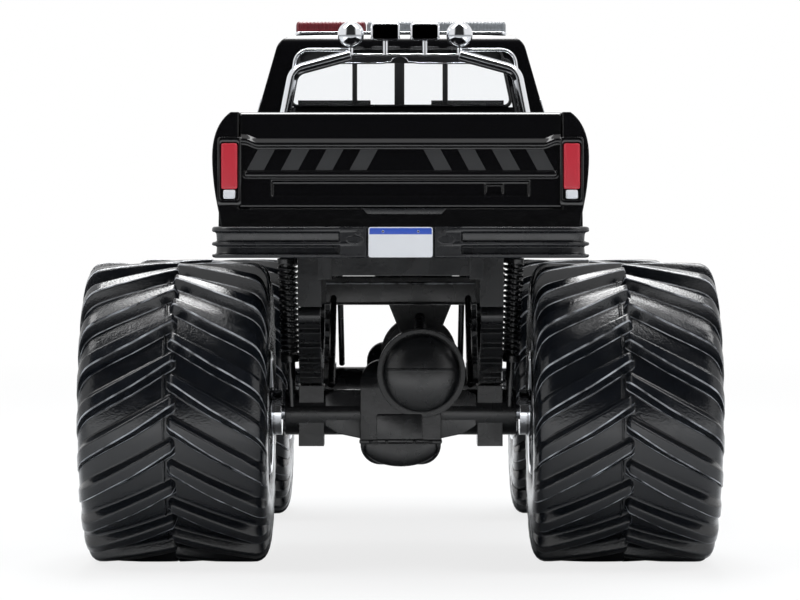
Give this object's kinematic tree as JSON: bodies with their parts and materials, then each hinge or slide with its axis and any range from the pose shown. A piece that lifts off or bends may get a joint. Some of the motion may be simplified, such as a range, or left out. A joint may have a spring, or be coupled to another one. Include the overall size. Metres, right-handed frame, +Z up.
{
  "type": "toy monster truck",
  "caption": "Scale-model pickup monster truck on tall lugged tyres, with a hollow cab, open load bed, chrome roll bar, roof light bar and rolling axles.",
  "frame": {"origin": "on the floor under the middle of the truck's length and width", "axes": "+X forward, +Y to the truck's left, +Z up"},
  "size_m": [0.0844, 0.055, 0.0494],
  "materials": {
    "body_paint": "gloss black enamel on a zinc casting",
    "window_clear": "clear moulded styrene",
    "interior_plastic": "dark grey moulded plastic",
    "bumper_plastic": "satin black moulded plastic",
    "chassis_plastic": "satin black moulded plastic",
    "plate_white": "white print",
    "lamp_red": "printed red lamp",
    "lamp_white": "printed white lamp",
    "lamp_clear": "clear moulded lamp",
    "lamp_amber": "amber lamp",
    "lens_red": "clear red tinted lens",
    "lens_clear": "clear lens",
    "chrome": "vacuum-plated plastic",
    "rim_chrome": "vacuum-plated plastic",
    "pin_steel": "drawn steel wire",
    "tyre": "soft moulded tyre"
  },
  "bodies": {
    "truck": {"cab_body": "body_paint", "bed_body": "body_paint", "tailgate": "body_paint", "glazing": "window_clear", "interior": "interior_plastic", "dashboard": "interior_plastic", "steering_wheel": "interior_plastic", "tail_lamps": "lamp_red", "reverse_lamps": "lamp_white", "rear_bumper": "bumper_plastic", "front_bumper": "bumper_plastic", "number_plate": "plate_white", "grille": "chrome", "headlamps": "lamp_clear", "indicators": "lamp_amber", "light_bar_base": "chrome", "light_bar_red_lens": "lens_red", "light_bar_clear_lens": "lens_clear", "roll_bar": "chrome", "round_lamps": "chrome", "rect_lamps": "chrome", "chassis_base": "chassis_plastic", "transfer_case": "chassis_plastic", "rear_axle_housing": "chassis_plastic", "front_axle_housing": "chassis_plastic", "leaf_springs": "chassis_plastic", "shocks": "chassis_plastic", "radius_links": "chassis_plastic", "drive_shafts": "chassis_plastic"},
    "rear_wheels": {"rear_axle_pin": "pin_steel", "rear_rim_left": "rim_chrome", "rear_tyre_left": "tyre", "rear_rim_right": "rim_chrome", "rear_tyre_right": "tyre"},
    "front_wheels": {"front_axle_pin": "pin_steel", "front_rim_left": "rim_chrome", "front_tyre_left": "tyre", "front_rim_right": "rim_chrome", "front_tyre_right": "tyre"}
  },
  "joints": [
    {"name": "rear_axle_spin", "type": "hinge", "parent": "truck", "child": "rear_wheels", "pos_m": [-0.02365, 0, 0.0131], "axis": [0, 1, 0], "continuous": true},
    {"name": "front_axle_spin", "type": "hinge", "parent": "truck", "child": "front_wheels", "pos_m": [0.02915, 0, 0.0131], "axis": [0, 1, 0], "continuous": true}
  ]
}
